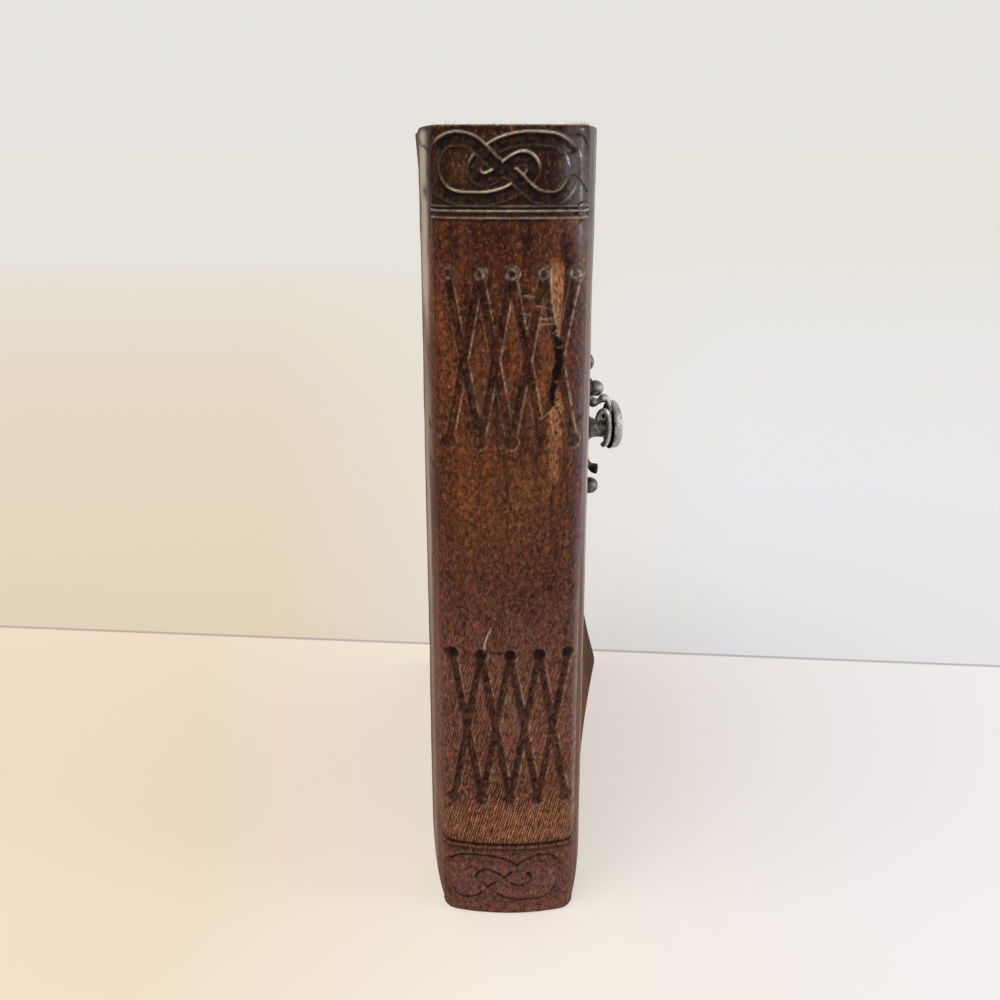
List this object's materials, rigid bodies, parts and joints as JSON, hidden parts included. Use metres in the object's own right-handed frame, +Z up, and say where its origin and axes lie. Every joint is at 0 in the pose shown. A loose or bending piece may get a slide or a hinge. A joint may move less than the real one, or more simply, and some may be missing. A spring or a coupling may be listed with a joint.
{
  "type": "leather journal",
  "caption": "Hand-bound journal in a wrap of embossed brown leather, with a knotwork spine, crossed lacing pattern and a stud and swing-hook clasp.",
  "frame": {"origin": "middle of the lower edge of the spine leather, half way through its thickness", "axes": "+Z up along the spine, -Y the way the spine faces, +X the side of the front cover"},
  "size_m": [0.0629, 0.1434, 0.178],
  "materials": {
    "spine_leather": "embossed, dark reddish brown, rubbed to orange brown in patches, half gloss",
    "cover_leather": "dark reddish brown, worn matt, fine grain",
    "paper": "uncoated hand-cut sheets, cream",
    "antique_metal": "antiqued dark metal",
    "stud_metal": "antiqued metal, rubbed bright on its edges"
  },
  "bodies": {
    "book": {"spine_leather": "spine_leather", "page_block": "paper"},
    "front": {"front_cover": "cover_leather", "clasp_plate": "antique_metal", "clasp_stud": "stud_metal", "stud_burr": "antique_metal", "plate_rivet_upper": "antique_metal", "plate_burr_upper": "antique_metal", "plate_rivet_lower": "stud_metal", "plate_burr_lower": "antique_metal", "hook_pivot": "stud_metal"},
    "hook": {"swing_hook": "stud_metal"},
    "back": {"back_cover": "cover_leather", "strap_ring": "antique_metal"}
  },
  "joints": [
    {"name": "front_cover_hinge", "type": "hinge", "parent": "book", "child": "front", "pos_m": [0.01565, 0.00485, 0], "axis": [0, 0, -1], "range_deg": [0, 160]},
    {"name": "back_cover_hinge", "type": "hinge", "parent": "book", "child": "back", "pos_m": [-0.01565, 0.00485, 0], "axis": [0, 0, 1], "range_deg": [0, 160]},
    {"name": "hook_swing", "type": "hinge", "parent": "front", "child": "hook", "pos_m": [0.0236, 0.1107, 0.1035], "axis": [-0.9986, 0.052, 0], "range_deg": [0, 100]}
  ]
}
